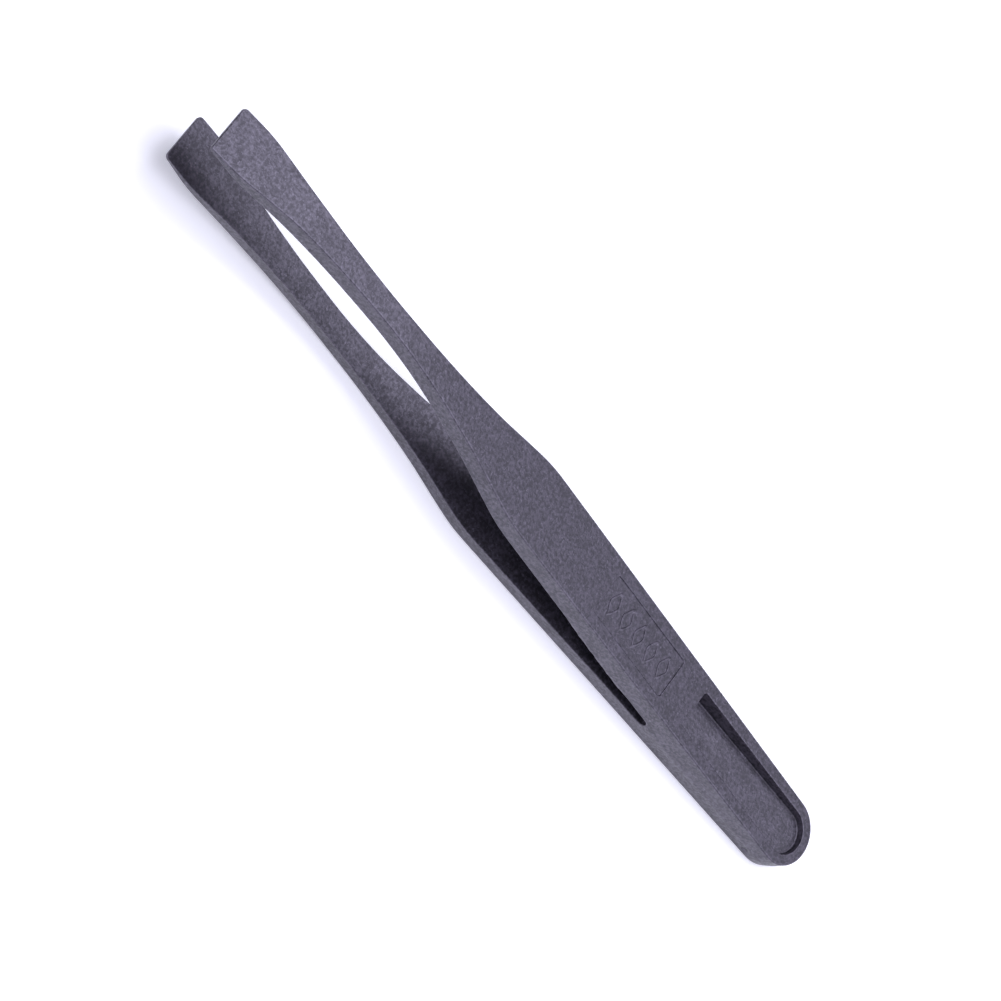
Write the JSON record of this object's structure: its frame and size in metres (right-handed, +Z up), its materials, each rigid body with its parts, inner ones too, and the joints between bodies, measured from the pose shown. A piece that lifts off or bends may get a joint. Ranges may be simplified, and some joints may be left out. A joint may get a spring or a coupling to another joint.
{
  "type": "flat-tip tweezers",
  "caption": "Springy moulded plastic tweezers with broad flat square tips, waisted arms and a cored heel block.",
  "frame": {"origin": "on the surface it lies on, under the middle of its length and width", "axes": "+X from the heel to the tips, +Y across the arms, +Z up, with the lower arm's straight outer face lying on z = 0"},
  "size_m": [0.1202, 0.01, 0.0153],
  "materials": {
    "black_plastic": "satin black carbon-filled plastic with a fine moulded grain"
  },
  "bodies": {
    "heel": {"heel_block": "black_plastic"},
    "upper": {"upper_arm": "black_plastic"},
    "lower": {"lower_arm": "black_plastic"}
  },
  "joints": [
    {"name": "upper_arm_squeeze", "type": "hinge", "parent": "heel", "child": "upper", "pos_m": [-0.03115, 0, 0.00587], "axis": [0, 1, 0], "range_deg": [0, 2.6], "stiffness_Nm_per_rad": 1.2},
    {"name": "lower_arm_squeeze", "type": "hinge", "parent": "heel", "child": "lower", "pos_m": [-0.03087, 0, 0.00147], "axis": [0, -1, 0], "range_deg": [0, 2.6], "stiffness_Nm_per_rad": 1.2}
  ],
  "couplings": [
    {"joint": "lower_arm_squeeze", "follows": "upper_arm_squeeze", "ratio": 1}
  ]
}
